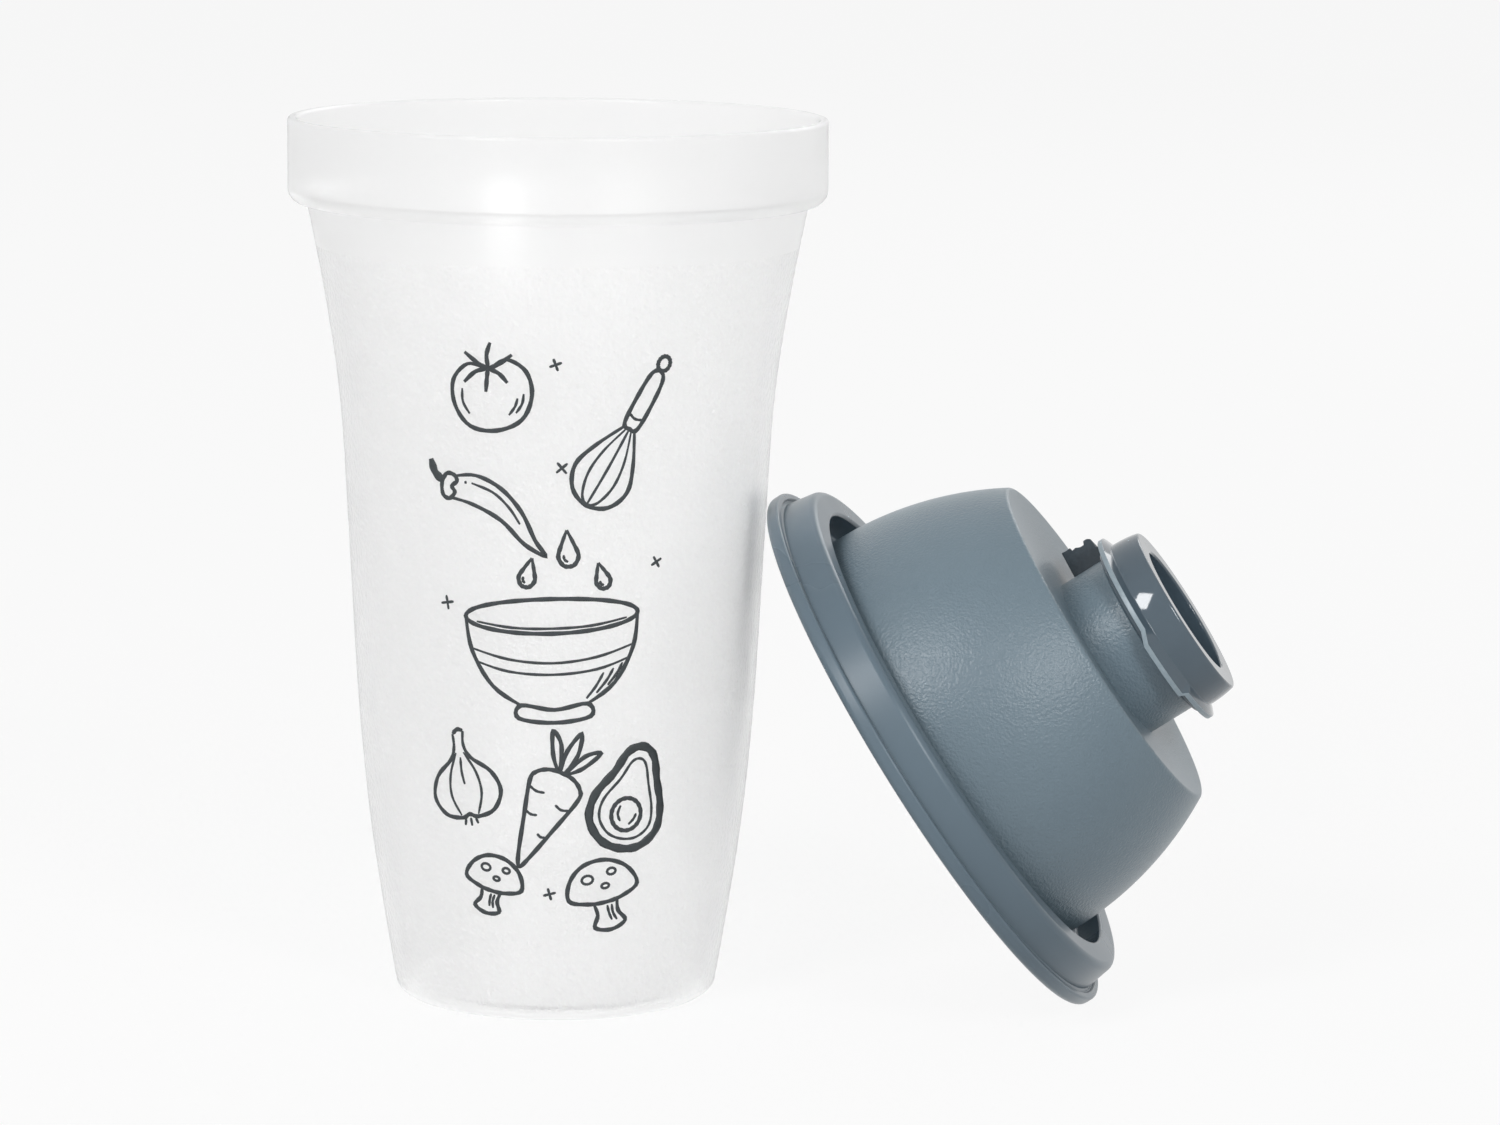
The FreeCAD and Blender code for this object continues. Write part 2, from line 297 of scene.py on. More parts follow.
# The tool's leather grain: rounded pebbles with creases between them, softened by a finer noise
cloud = node(tree, "ShaderNodeTexNoise", [("Vector", place), ("Scale", per_mm(CLOUD_SIZE)), ("Detail", 2.0)])
tone = node(
    tree,
    "ShaderNodeMix",
    [("Factor", cloud.outputs["Fac"]), ("A", CUP_MILK), ("B", CUP_HAZE)],
    data_type="RGBA",
)
tree.links.new(tone.outputs["Result"], shader.inputs["Base Color"])
pebbles = node(
    tree,
    "ShaderNodeTexVoronoi",
    [("Vector", place), ("Scale", per_mm(PEBBLE)), ("Smoothness", 0.6)],
    feature="SMOOTH_F1",
)
fine = node(tree, "ShaderNodeTexNoise", [("Vector", place), ("Scale", per_mm(FINE_GRAIN)), ("Detail", 2.0)])
relief = node(
    tree,
    "ShaderNodeMath",
    [(0, fine.outputs["Fac"]), (1, pebbles.outputs["Distance"])],
    operation="SUBTRACT",
)
bump = node(
    tree,
    "ShaderNodeBump",
    [("Strength", 1.0), ("Distance", 0.25 * MM), ("Height", relief.outputs[0])],
)
tree.links.new(bump.outputs["Normal"], shader.inputs["Normal"])
shader.inputs["Roughness"].default_value = 0.58
shader.inputs["IOR"].default_value = MILKY_IOR
shader.inputs["Transmission Weight"].default_value = MILKY_TRANSMISSION
shader.inputs["Coat Weight"].default_value = 0.7
shader.inputs["Coat Roughness"].default_value = 0.28
print("made", grained_pp.name, "with pebbles of", PEBBLE, "mm")

# %% Give the cup its two finishes
GRAIN_FOOT = 2.5
GRAIN_TOP = 127.7
cup.data.materials.append(smooth_pp)
cup.data.materials.append(grained_pp)
grained_faces = 0
for face in cup.data.polygons:
    height = face.center.z / MM
    facing_out = face.normal.x * face.center.x + face.normal.y * face.center.y > 0
    if facing_out and GRAIN_FOOT < height < GRAIN_TOP:
        face.material_index = 1
        grained_faces += 1
print("grained faces on the cup:", grained_faces)

# %% [markdown]
# ## The print on the cup
# The front carries a kitchen print in one dark ink: loose pen drawings, about 95 mm from top to bottom.
# A texture would need an image file, so the drawings are made as pen strokes. Each stroke is a smooth
# line through a few points, thinner at its ends like a pen's, given a round bevel, flattened to a film
# of ink and rolled onto the cup. The motifs are simple kitchen things, drawn for this model.

# %% Pens and ovals
PEN = 0.78
FINE_PEN = 0.5
BROAD_PEN = 1.5
OVAL_POINTS = 12


def oval(x, y, across, tall):
    """Points round an oval."""
    turns = [math.tau * i / OVAL_POINTS for i in range(OVAL_POINTS)]
    return [(x + across / 2 * math.cos(turn), y + tall / 2 * math.sin(turn)) for turn in turns]


# %% Strokes of the tomato, the whisk and the chilli
# Each stroke: pen width, whether it closes on itself, and its points in mm
TOMATO = [
    (PEN, False, [
        (-0.6, 4.4), (-3.4, 5.3), (-6.3, 2.9), (-6.6, -1.2), (-4.4, -4.9), (0, -6.1),
        (4.4, -4.8), (6.6, -1.0), (6.2, 3.0), (3.4, 5.3), (0.7, 4.4),
    ]),
    (PEN, False, [(0, 4.2), (-1.5, 5.2), (-3.6, 7.3)]),
    (PEN, False, [(0, 4.2), (-2.2, 3.9), (-4.4, 2.4)]),
    (PEN, False, [(0, 4.2), (-0.4, 2.6), (-0.9, 0.4)]),
    (PEN, False, [(0, 4.2), (1.7, 3.2), (2.9, 1.5)]),
    (PEN, False, [(0, 4.2), (1.9, 4.7), (4.3, 6.0)]),
    (PEN, False, [(0.1, 4.2), (0.1, 6.4), (1.0, 8.4)]),
    (FINE_PEN, False, [(-4.9, 1.4), (-5.1, -0.8), (-4.2, -2.9)]),
    (FINE_PEN, False, [(3.6, -3.6), (4.8, -2.2), (5.3, -0.6)]),
    (FINE_PEN, False, [(2.4, -3.8), (3.6, -2.5), (4.2, -1.2)]),
]
WHISK = [
    (PEN, True, [
        (-1.2, 3.6), (-1.4, 8.5), (-1.1, 12.3), (0, 13.3),
        (1.1, 12.3), (1.4, 8.5), (1.2, 3.6), (0, 3.0),
    ]),
    (PEN, True, oval(0, 14.6, 2.0, 2.4)),
    (PEN, False, [
        (-0.9, 3.1), (-3.4, -1.6), (-4.7, -5.8), (-3.2, -9.3), (0, -10.6),
        (3.2, -9.3), (4.7, -5.8), (3.4, -1.6), (0.9, 3.1),
    ]),
    (FINE_PEN, False, [
        (-0.4, 3.0), (-1.9, -1.8), (-2.3, -6.0), (-1.4, -9.4), (0, -10.4),
        (1.4, -9.4), (2.3, -6.0), (1.9, -1.8), (0.4, 3.0),
    ]),
    (FINE_PEN, False, [(0, 3.0), (0.1, -4.0), (0, -10.4)]),
    (FINE_PEN, False, [(-1.2, 5.2), (0, 4.8), (1.2, 5.2)]),
]
CHILLI = [
    (PEN, False, [
        (-6.4, 3.7), (-2.6, 4.4), (1.6, 3.0), (5.2, -0.2), (7.8, -4.4),
        (9.6, -6.6), (6.2, -5.2), (2.2, -2.0), (-2.6, -0.2), (-6.8, 0.3),
    ]),
    (PEN, True, [
        (-6.3, 3.9), (-7.6, 3.9), (-8.3, 2.3), (-7.9, 0.5),
        (-6.7, 0.1), (-5.9, 1.2), (-6.5, 2.1), (-5.7, 3.0),
    ]),
    (BROAD_PEN, False, [(-8.0, 2.6), (-9.7, 3.7), (-10.7, 5.7)]),
    (FINE_PEN, False, [(-3.2, 3.1), (0.4, 2.2), (3.2, 0.2), (5.2, -2.2)]),
    (FINE_PEN, False, [(-4.4, 3.0), (-4.0, 3.1)]),
]
print("strokes:", len(TOMATO), len(WHISK), len(CHILLI))

# %% Strokes of the bowl, the drop and the garlic
BOWL = [
    (PEN, True, oval(0, 5.0, 24, 4.8)),
    (FINE_PEN, False, [(-10.4, 4.3), (-5.4, 3.5), (0, 3.3), (5.4, 3.5), (10.4, 4.3)]),
    (PEN, False, [(-12, 4.9), (-11.2, 0.2), (-8.4, -4.6), (-4.4, -7.4)]),
    (PEN, False, [(12, 4.9), (11.2, 0.2), (8.4, -4.6), (4.4, -7.4)]),
    (PEN, True, [(-4.5, -7.3), (-4.9, -9.1), (0, -9.8), (4.9, -9.1), (4.5, -7.3), (0, -8.0)]),
    (FINE_PEN, False, [(-11.3, 0.6), (-6, -0.9), (0, -1.5), (6, -0.9), (11.3, 0.6)]),
    (FINE_PEN, False, [(-10.7, -1.2), (-6, -2.6), (0, -3.1), (6, -2.6), (10.7, -1.2)]),
    (FINE_PEN, False, [(7.4, -4.9), (8.7, -3.4), (9.6, -1.9)]),
    (FINE_PEN, False, [(5.8, -5.9), (7.3, -4.2), (8.3, -2.6)]),
    (FINE_PEN, False, [(4.4, -6.6), (5.8, -4.9), (6.9, -3.1)]),
]
DROP = [
    (PEN, False, [
        (0, 3.0), (-0.9, 0.9), (-1.5, -0.9), (-0.9, -2.2), (0, -2.5),
        (0.9, -2.2), (1.5, -0.9), (0.9, 0.9), (0, 3.0),
    ]),
    (FINE_PEN, False, [(-0.7, -0.7), (-0.6, -1.4), (-0.1, -1.8)]),
]
GARLIC = [
    (PEN, False, [
        (-0.8, 8.2), (-0.9, 6.0), (-1.9, 3.9), (-5.0, 1.3), (-6.2, -2.2),
        (-4.4, -5.2), (-1.4, -6.0), (0, -5.5), (1.5, -6.0), (4.5, -5.1),
        (6.2, -2.0), (5.0, 1.4), (1.9, 4.0), (0.9, 6.2), (1.2, 8.6),
    ]),
    (PEN, False, [(-0.8, 8.2), (0.2, 8.9), (1.2, 8.6)]),
    (FINE_PEN, False, [(-0.7, 5.0), (-2.4, 1.4), (-2.8, -2.2), (-1.5, -5.6)]),
    (FINE_PEN, False, [(0.7, 5.0), (2.4, 1.5), (2.8, -2.1), (1.6, -5.6)]),
    (FINE_PEN, False, [(0, 4.2), (-0.2, 1.8), (0, -0.4)]),
    (FINE_PEN, False, [(-0.8, -6.2), (-1.1, -7.3)]),
    (FINE_PEN, False, [(0.1, -6.1), (0.1, -7.5)]),
    (FINE_PEN, False, [(1.0, -6.2), (1.3, -7.2)]),
]
print("strokes:", len(BOWL), len(DROP), len(GARLIC))

# %% Strokes of the carrot, the avocado, the mushroom and the spark
CARROT = [
    (PEN, True, [
        (-3.9, 4.8), (-4.3, 3.0), (-2.7, -3.0), (-0.9, -9.4), (0.1, -11.2), (0.9, -9.4),
        (2.7, -3.0), (4.3, 3.0), (3.9, 4.8), (2.2, 6.0), (0, 6.3), (-2.2, 6.0),
    ]),
    (PEN, False, [(-0.8, 6.4), (-2.6, 8.6), (-4.2, 12.2), (-2.0, 10.6), (-0.5, 6.5)]),
    (PEN, False, [(-0.3, 6.4), (-0.7, 10.0), (0.3, 13.6), (1.2, 10.0), (0.4, 6.4)]),
    (PEN, False, [(0.6, 6.4), (2.4, 10.4), (4.6, 11.8), (2.9, 8.4), (0.9, 6.4)]),
    (FINE_PEN, False, [(-4.0, 2.2), (-2.6, 1.8), (-1.2, 2.1)]),
    (FINE_PEN, False, [(3.7, 0.9), (2.4, 0.5), (1.2, 0.9)]),
    (FINE_PEN, False, [(-2.9, -1.9), (-1.8, -2.2), (-0.8, -1.9)]),
    (FINE_PEN, False, [(2.0, -4.9), (1.2, -5.1), (0.5, -4.8)]),
]
AVOCADO = [
    (BROAD_PEN, True, [
        (0, 8.6), (-2.3, 7.3), (-3.7, 3.6), (-5.7, -0.6), (-5.6, -4.6), (-3.0, -7.5),
        (0.4, -8.2), (3.7, -7.1), (5.9, -4.0), (5.6, -0.2), (3.8, 3.8), (2.2, 7.4),
    ]),
    (FINE_PEN, True, [
        (0, 6.6), (-1.3, 5.8), (-2.4, 2.8), (-4.2, -1.0), (-4.1, -4.0), (-2.2, -6.1),
        (0.3, -6.6), (2.8, -5.8), (4.4, -3.6), (4.1, -0.7), (2.5, 2.9), (1.2, 5.8),
    ]),
    (PEN, True, oval(0.1, -2.6, 4.9, 5.3)),
    (FINE_PEN, False, [(-1.2, -1.4), (-1.3, -2.8), (-0.6, -3.9)]),
    (FINE_PEN, False, [(0.9, -4.1), (1.5, -3.1), (1.7, -2.1)]),
]
MUSHROOM = [
    (PEN, True, [
        (-7.0, 0.0), (-6.0, 3.8), (-2.8, 6.4), (1.7, 6.6), (5.6, 4.2),
        (7.1, 0.2), (3.6, -1.5), (0, -1.9), (-3.6, -1.5),
    ]),
    (PEN, False, [
        (-2.4, -1.6), (-2.1, -4.2), (-3.1, -6.6), (0, -7.7), (3.1, -6.6), (2.1, -4.2), (2.4, -1.6),
    ]),
    (FINE_PEN, True, oval(-2.6, 3.4, 2.2, 1.7)),
    (FINE_PEN, True, oval(2.4, 4.0, 1.7, 1.3)),
    (FINE_PEN, True, oval(0.6, 1.4, 1.5, 1.0)),
    (FINE_PEN, False, [(1.1, -2.6), (1.0, -4.4), (1.5, -6.0)]),
    (FINE_PEN, False, [(0.2, -2.6), (0.2, -4.2), (0.5, -5.8)]),
]
SPARK = [
    (FINE_PEN, False, [(-1.2, 0), (1.2, 0)]),
    (FINE_PEN, False, [(0, -1.2), (0, 1.2)]),
]
print("strokes:", len(CARROT), len(AVOCADO), len(MUSHROOM), len(SPARK))

# %% [markdown]
# ## Laying out the print
# On paper, a layout is a list: which drawing, where, how turned and how large. The same list serves here,
# so a drawing that comes twice is written once. The drops fall into the bowl, and the rest is spread
# round them.

# %% The layout
# Each motif: strokes, place round the cup and height in mm, turn in degrees and size
PRINT = [
    (TOMATO, -9.5, 106.0, 8, 1.0),
    (WHISK, 11.5, 97.5, -30, 1.05),
    (CHILLI, -10.0, 87.5, -6, 1.05),
    (DROP, -3.5, 76.5, -14, 0.9),
    (DROP, 3.0, 80.5, 4, 1.1),
    (DROP, 8.6, 76.0, 16, 0.8),
    (BOWL, 0.5, 63.5, 2, 1.2),
    (GARLIC, -14.5, 41.0, 10, 1.0),
    (CARROT, -0.5, 37.5, -24, 1.0),
    (AVOCADO, 13.5, 38.5, -16, 1.05),
    (MUSHROOM, 9.0, 22.5, 12, 0.85),
    (MUSHROOM, -9.5, 24.0, -14, 0.7),
    (SPARK, 1.0, 111.0, 20, 0.9),
    (SPARK, 2.0, 94.0, 40, 1.0),
    (SPARK, -17.5, 71.0, 10, 1.0),
    (SPARK, 18.0, 78.0, 30, 0.9),
    (SPARK, 0.0, 22.5, 15, 0.9),
]
print("motifs in the print:", len(PRINT))

# %% Draw the strokes as one flat curve
INK_STEPS = 5
# Half a unit of bevel makes a point's radius the whole width of the stroke there
STROKE_HALF = 0.5
# A hand's pressure: its mean, how far it sways and how fast, and what is left of it at a stroke's end
PRESSURE = 0.94
PRESSURE_SWAY = 0.1
PRESSURE_PACE = 1.7
TIP_PRESSURE = 0.62
TIP_GROWTH = 2.2
bpy.ops.object.select_all(action="DESELECT")
bpy.ops.curve.primitive_bezier_curve_add()
drawing = bpy.context.object
drawing.name = "cup_print"
curve = drawing.data
curve.splines.clear()
curve.dimensions = "2D"
curve.fill_mode = "NONE"
curve.bevel_depth = STROKE_HALF
curve.bevel_resolution = 1
curve.use_fill_caps = True
for motif, across, height, turn, size in PRINT:
    turned = Matrix.Rotation(math.radians(turn), 4, "Z") @ Matrix.Scale(size, 4)
    settle = Matrix.Translation((across, height, 0)) @ turned
    for width, closed, points in motif:
        line = [settle @ Vector((x, y, 0)) for x, y in smooth_line(points, INK_STEPS, closed)]
        stroke = curve.splines.new("POLY")
        stroke.points.add(len(line) - 1)
        stroke.use_cyclic_u = closed
        for number, (dot, here) in enumerate(zip(stroke.points, line)):
            dot.co = here.to_4d()
            from_end = min(number, len(line) - 1 - number) / len(line)
            taper = 1 if closed else min(1, TIP_PRESSURE + TIP_GROWTH * from_end)
            sway = PRESSURE + PRESSURE_SWAY * math.sin(PRESSURE_PACE * number + across)
            dot.radius = width * sway * taper
bpy.ops.object.convert(target="MESH")
cup_print = bpy.context.object
print("print strokes as mesh:", len(cup_print.data.polygons), "faces")

# %% Roll the strokes onto the cup
INK_LIFT = 0.02
INK_FILM = 0.05


def cup_radius(height):
    """The radius of the cup's outer side at a height, in mm."""
    for low, high in zip(outer_side, outer_side[1:]):
        if low.y <= height <= high.y:
            return low.x + (high.x - low.x) * (height - low.y) / (high.y - low.y)
    return THROAT_RADIUS


for dot in cup_print.data.vertices:
    across, height, thickness = dot.co
    side = cup_radius(height)
    radius = side + INK_LIFT + INK_FILM * (thickness + STROKE_HALF)
    dot.co = Vector((radius * math.sin(across / side), -radius * math.cos(across / side), height)) * MM
bpy.ops.object.mode_set(mode="EDIT")
bpy.ops.mesh.select_all(action="SELECT")
bpy.ops.mesh.remove_doubles(threshold=SAME_PLACE)
bpy.ops.mesh.normals_make_consistent(inside=False)
bpy.ops.object.mode_set(mode="OBJECT")
bpy.ops.object.shade_smooth()
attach(cup_print, "cup")
print("ink stands", INK_LIFT + INK_FILM, "mm proud of the cup")

# %% [markdown]
# ## Printing ink
# Ink on polypropylene is a thin satin film, near black with a cool cast. One flat colour would look like
# a sticker, so the tone wanders a little, as ink does where it misses the creases of the grain.

# %% Ink for the print
INK_DARK = linear("#2B3032")
INK_WORN = linear("#3E4447")
ink, tree, shader, place = new_material("screen_printed_ink_slate")
# Screen ink on PP: a thin satin film, a touch lighter where it missed the grain's creases
mottle = node(tree, "ShaderNodeTexNoise", [("Vector", place), ("Scale", per_mm(0.8)), ("Detail", 3.0)])
tone = node(
    tree,
    "ShaderNodeMix",
    [("Factor", mottle.outputs["Fac"]), ("A", INK_DARK), ("B", INK_WORN)],
    data_type="RGBA",
)
tree.links.new(tone.outputs["Result"], shader.inputs["Base Color"])
shader.inputs["Roughness"].default_value = 0.5
cup_print.data.materials.append(ink)
print("made", ink.name)

# %% [markdown]
# ## Where the lid leans
# The lid and its collar are drawn upright round their own axis and moved once they are whole. The frame's
# joints say where: the collar's hinge gives the neck's axis and a point on it. One direction across the
# lid is level, so the hinge and that direction are enough to build a matrix.

# %% The lid's place
NECK_OFFSET = 2.6
COLLAR_FOOT = 42.8
joints = {joint["name"]: joint for joint in frame["record"]["behaviour"]["joints"]}
hinge = joints["collar_twist"]
lid_axis = Vector(hinge["axis"]).normalized()
lid_side = Vector((0, 0, 1)).cross(lid_axis).normalized()
lid_down = lid_side.cross(lid_axis)
lid_origin = Vector(hinge["pos_m"]) - lid_axis * COLLAR_FOOT * MM - lid_down * NECK_OFFSET * MM
lean = Matrix((lid_down, lid_side, lid_axis)).transposed().to_4x4()
lean.translation = lid_origin
print("lid at", [round(c, 4) for c in lid_origin], "along", [round(c, 3) for c in lid_axis])


def settle_on_lean(piece):
    """Moves a finished upright piece to where the lid leans, with its place in its mesh."""
    bpy.ops.object.select_all(action="DESELECT")
    piece.select_set(True)
    bpy.context.view_layer.objects.active = piece
    piece.matrix_world = lean @ piece.matrix_world
    bpy.ops.object.transform_apply(location=True, rotation=True, scale=True)


# %% [markdown]
# ## The lid's round part
# The lid is one moulding: a beaded skirt, a flat land over the channel that takes the cup's rim, a gutter,
# and the dome with its dished top. All of that is round, so it is spun like the cup. The dome's side is a
# true arc, given by how far it stands out from a straight line.

# %% Arcs for bulging walls
ARC_STEPS = 24


def bulged(start, end, bulge):
    """Points on an arc from start to end that stands out from its chord by bulge, ends left out."""
    start = Vector(start)
    chord = Vector(end) - start
    sweep = 4 * math.atan(2 * bulge / chord.length)
    radius = chord.length / 2 / math.sin(sweep / 2)
    out = Vector((chord.y, -chord.x)).normalized()
    centre = start + chord / 2 - out * radius * math.cos(sweep / 2)
    spokes = [sweep * (step / ARC_STEPS - 0.5) for step in range(1, ARC_STEPS)]
    along = chord.normalized()
    return [centre + (out * math.cos(spoke) + along * math.sin(spoke)) * radius for spoke in spokes]


# %% Spin the lid's round part
LID_WALL = 1.6
DISH_HEIGHT = 34.5
DISH_RADIUS = 17.35
DOME_BULGE = 2.4
dome = bulged((38.4, 3.2), (30.4, 35.8), DOME_BULGE)
inner_dome = bulged((36.8, 1.6), (28.8, 34.2), DOME_BULGE)
# Corners as radius, height and rounding in mm: bead, groove, skirt, land and gutter
rim_outside = [
    (45.25, 0, 0.35),
    (50.0, 0, 1.1),
    (50.0, 2.6, 0.45),
    (48.8, 2.6, 0.15),
    (48.45, 2.1, 0.1),
    (47.95, 2.5, 0.1),
    (47.05, 8.1, 1.4),
    (42.1, 8.1, 0.6),
    (42.1, 3.2, 0.7),
    (38.4, 3.2, 0.6),
]
dome_top = [(30.4, 35.8, 0.9), (DISH_RADIUS, DISH_HEIGHT, 0), (0, DISH_HEIGHT, 0)]
underside = [(0, DISH_HEIGHT - LID_WALL, 0), (DISH_RADIUS, DISH_HEIGHT - LID_WALL, 0), (28.8, 34.2, 0.5)]
channel = [(36.8, 1.6, 0.4), (43.2, 1.6, 0.4), (43.2, 6.5, 0.3), (45.25, 6.5, 0.3)]
lid_top = rim_outside + plain(dome) + dome_top
lid_outline = rounded(lid_top + underside + plain(reversed(inner_dome)) + channel)
lid = spin_outline("pouring_lid", lid_outline + lid_outline[:1])

# %% [markdown]
# ## The neck
# The neck stands off the dome's axis, so it can't be part of the same spin. It is spun alone, with the
# narrower spigot that the collar snaps over, moved sideways, and joined on with a Boolean union. Its foot
# ends inside the dish's wall, so the union has no gap to close.

# %% Add the neck
NECK_RADIUS = 14.45
NECK_TOP = 42.7
SPIGOT_RADIUS = 14.0
SPIGOT_TOP = 48.2


def combine(piece, tool, operation):
    """Joins the tool to the piece, or cuts the piece with it, and takes the tool away."""
    bpy.ops.object.select_all(action="DESELECT")
    piece.select_set(True)
    bpy.context.view_layer.objects.active = piece
    bpy.ops.object.modifier_add(type="BOOLEAN")
    modifier = piece.modifiers[-1]
    modifier.operation = operation
    modifier.solver = "EXACT"
    modifier.object = tool
    bpy.ops.object.modifier_apply(modifier=modifier.name)
    bpy.data.objects.remove(tool)
    print(piece.name, operation.lower(), "now", len(piece.data.polygons), "faces")


neck_foot = DISH_HEIGHT - LID_WALL / 2
neck_corners = [
    (0, neck_foot, 0),
    (NECK_RADIUS, neck_foot, 0),
    (NECK_RADIUS, NECK_TOP, 0.25),
    (SPIGOT_RADIUS, NECK_TOP, 0.1),
    (SPIGOT_RADIUS, SPIGOT_TOP, 0.3),
    (0, SPIGOT_TOP, 0),
]
neck = spin_outline("neck", rounded(neck_corners))
neck.location.x = NECK_OFFSET * MM
bpy.ops.object.transform_apply(location=True)
combine(lid, neck, "UNION")

# %% [markdown]
# ## The lug
# A short stub on the neck, clear of the dish, that stops the collar's tab. Its end looks torn, as if it
# was trimmed after moulding. A box with noise would look too even, so the torn edge is drawn: an
# uneven outline is extruded point by point, filled, pushed out to the lug's width and finely bevelled.

# %% Draw the lug's outline and give it width
LUG_WIDTH = 5.0
LUG_BEVEL = 0.15
# Distance from the neck's axis and height, in mm
lug_outline = [
    (13.6, 36.4),
    (20.3, 36.4),
    (20.2, 37.2),
    (20.3, 38.1),
    (19.6, 38.2),
    (19.8, 38.9),
    (19.4, 39.7),
    (19.4, 40.4),
    (20.1, 40.6),
    (20.1, 41.3),
    (19.7, 41.9),
    (17.8, 42.1),
    (17.2, 43.3),
    (16.2, 43.3),
    (16.0, 42.5),
    (13.6, 42.5),
]
lug_start = (lug_outline[0][0] * MM, -LUG_WIDTH / 2 * MM, lug_outline[0][1] * MM)
bpy.ops.object.select_all(action="DESELECT")
bpy.ops.mesh.primitive_plane_add(size=MM)
lug = bpy.context.object
bpy.ops.object.mode_set(mode="EDIT")
bpy.ops.mesh.merge(type="CENTER")
bpy.ops.transform.translate(value=lug_start)
for here, there in zip(lug_outline, lug_outline[1:] + lug_outline[:1]):
    move = ((there[0] - here[0]) * MM, 0, (there[1] - here[1]) * MM)
    bpy.ops.mesh.extrude_region_move(TRANSFORM_OT_translate={"value": move})
bpy.ops.mesh.select_all(action="SELECT")
bpy.ops.mesh.remove_doubles(threshold=SAME_PLACE)
bpy.ops.mesh.edge_face_add()
bpy.ops.mesh.extrude_region_move(TRANSFORM_OT_translate={"value": (0, LUG_WIDTH * MM, 0)})
bpy.ops.mesh.select_all(action="SELECT")
bpy.ops.mesh.normals_make_consistent(inside=False)
bpy.ops.mesh.bevel(offset=LUG_BEVEL * MM, segments=2, affect="EDGES", clamp_overlap=True)
bpy.ops.object.mode_set(mode="OBJECT")
print("lug:", len(lug.data.polygons), "faces")

# %% Turn the lug to its place and join it on
LUG_ANGLE = 146.0
lug_turn = Matrix.Rotation(math.radians(LUG_ANGLE), 4, "Z")
lug.matrix_world = Matrix.Translation((NECK_OFFSET * MM, 0, 0)) @ lug_turn
bpy.ops.object.transform_apply(location=True, rotation=True)
combine(lid, lug, "UNION")

# %% [markdown]
# ## The bore
# Dressing pours through the neck. Boring comes last, so that one cut goes through neck and dome alike and
# their walls line up.

# %% Cut the bore through neck and dome
BORE_RADIUS = 12.4
BORE_MIDDLE = 40
BORE_LENGTH = 40
bpy.ops.object.select_all(action="DESELECT")
bpy.ops.mesh.primitive_cylinder_add(
    vertices=SPIN_STEPS,
    radius=BORE_RADIUS * MM,
    depth=BORE_LENGTH * MM,
    location=(NECK_OFFSET * MM, 0, BORE_MIDDLE * MM),
)
bore = bpy.context.object
bpy.ops.object.transform_apply(location=True)
combine(lid, bore, "DIFFERENCE")

# %% [markdown]
# ## Grey polypropylene
# The plastic is slate grey all over, but its moulds were finished in different ways. The dome and neck
# have a fine spark-eroded grain that breaks up highlights, and the rim has a soft satin. The lug is the same
# plastic, coloured darker as painted shade. One grey for all would look like clay, so each finish is a
# material of its own: much the same colour, with another roughness and bump.

# %% Spark-eroded grain for the dome
SPARK_GRAIN = 0.46
PP_IOR = 1.49
SPARK_DARK = linear("#687984")
SPARK_PALE = linear("#71828C")
spark_pp, tree, shader, place = new_material("polypropylene_spark_eroded_slate")
# Real grain is 0.2 to 0.3 mm; it is drawn coarser so that it still shows in the render
cloud = node(tree, "ShaderNodeTexNoise", [("Vector", place), ("Scale", per_mm(16)), ("Detail", 3.0)])
tone = node(
    tree,
    "ShaderNodeMix",
    [("Factor", cloud.outputs["Fac"]), ("A", SPARK_DARK), ("B", SPARK_PALE)],
    data_type="RGBA",
)
tree.links.new(tone.outputs["Result"], shader.inputs["Base Color"])
grain = node(tree, "ShaderNodeTexNoise", [("Vector", place), ("Scale", per_mm(SPARK_GRAIN)), ("Detail", 2.0)])
bump = node(
    tree,
    "ShaderNodeBump",
    [("Strength", 1.0), ("Distance", 0.14 * MM), ("Height", grain.outputs["Fac"])],
)
tree.links.new(bump.outputs["Normal"], shader.inputs["Normal"])
shader.inputs["Roughness"].default_value = 0.31
shader.inputs["IOR"].default_value = PP_IOR
shader.inputs["Specular IOR Level"].default_value = 0.42
print("made", spark_pp.name, "with grain of", SPARK_GRAIN, "mm")

# %% Satin for the rim and the inside
SATIN_DARK = linear("#5C6C77")
SATIN_PALE = linear("#64747F")
satin_pp, tree, shader, place = new_material("polypropylene_satin_slate")
# A stoned tool leaves a smooth satin with a slow ripple and faint changes of gloss
cloud = node(tree, "ShaderNodeTexNoise", [("Vector", place), ("Scale", per_mm(20)), ("Detail", 2.0)])
tone = node(
    tree,
    "ShaderNodeMix",
    [("Factor", cloud.outputs["Fac"]), ("A", SATIN_DARK), ("B", SATIN_PALE)],
    data_type="RGBA",
)
tree.links.new(tone.outputs["Result"], shader.inputs["Base Color"])
gloss = node(
    tree,
    "ShaderNodeMapRange",
    [("Value", cloud.outputs["Fac"]), ("To Min", 0.22), ("To Max", 0.36)],
)
tree.links.new(gloss.outputs["Result"], shader.inputs["Roughness"])
ripple = node(tree, "ShaderNodeTexNoise", [("Vector", place), ("Scale", per_mm(5)), ("Detail", 2.0)])
bump = node(
    tree,
    "ShaderNodeBump",
    [("Strength", 0.3), ("Distance", 0.04 * MM), ("Height", ripple.outputs["Fac"])],
)
tree.links.new(bump.outputs["Normal"], shader.inputs["Normal"])
shader.inputs["IOR"].default_value = PP_IOR
shader.inputs["Specular IOR Level"].default_value = 0.32
print("made", satin_pp.name)

# %% Darker colour for the lug: painted shade
# Painted shade: these greys are darker than the lid's plastic, standing in for the shade on the lug
LUG_SHADE_DARK = linear("#262F36")
LUG_SHADE_PALE = linear("#3A454D")
lug_painted_shade_pp, tree, shader, place = new_material("polypropylene_lug_painted_shade")
